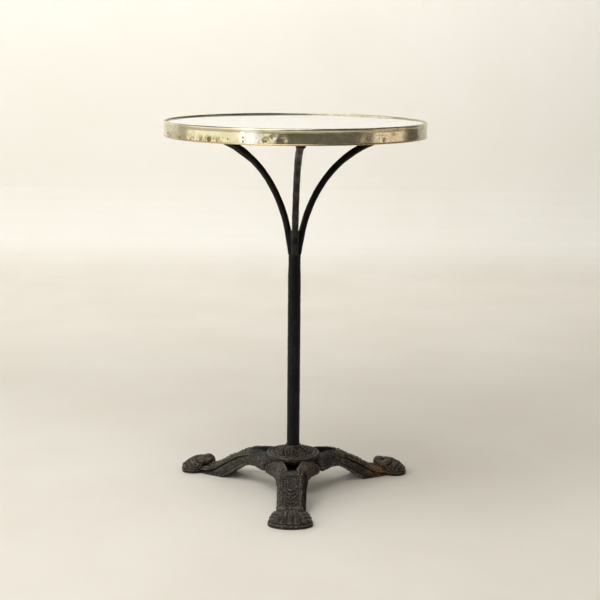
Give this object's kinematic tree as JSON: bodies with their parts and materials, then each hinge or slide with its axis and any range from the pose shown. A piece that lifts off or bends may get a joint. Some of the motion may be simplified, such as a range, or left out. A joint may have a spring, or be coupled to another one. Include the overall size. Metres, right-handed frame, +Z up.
{
  "type": "bistro table",
  "caption": "Small round cafe table: white glass top in a metal band, slim iron stem that splits into curved branches, and a cast-iron tripod base.",
  "frame": {"origin": "on the floor, on the stem's axis (the middle of the three feet)", "axes": "+Z up along the stem; the front leg points along -Y; +X to the right seen from the front"},
  "size_m": [0.504, 0.51, 0.73],
  "materials": {
    "opal_glass": "polished white opaline glass",
    "felt": "pressed wool felt",
    "board_wood": "bare aged softwood",
    "band_metal": "worn nickel plate over brass",
    "nail_brass": "tarnished",
    "wrought_iron": "old black paint over hammered iron",
    "cast_iron": "brown-black, slightly rusted",
    "hardware_steel": "dull"
  },
  "bodies": {
    "root": {"glass_top": "opal_glass", "bedding_felt": "felt", "board_plank_left": "board_wood", "board_plank_middle": "board_wood", "board_plank_right": "board_wood", "board_tongue_left": "board_wood", "board_tongue_right": "board_wood", "rim_band": "band_metal", "rim_nails": "nail_brass", "branch_front": "wrought_iron", "branch_right": "wrought_iron", "branch_left": "wrought_iron", "branch_screws": "hardware_steel", "branch_rivets": "wrought_iron", "junction_core": "wrought_iron", "stem_tube": "wrought_iron", "stem_foot": "hardware_steel", "foot_pin": "wrought_iron", "base_cap": "cast_iron", "leg_front": "cast_iron", "leg_right": "cast_iron", "leg_left": "cast_iron", "clamp_plate": "cast_iron", "clamp_washer": "hardware_steel", "clamp_nut": "hardware_steel"}
  },
  "joints": []
}
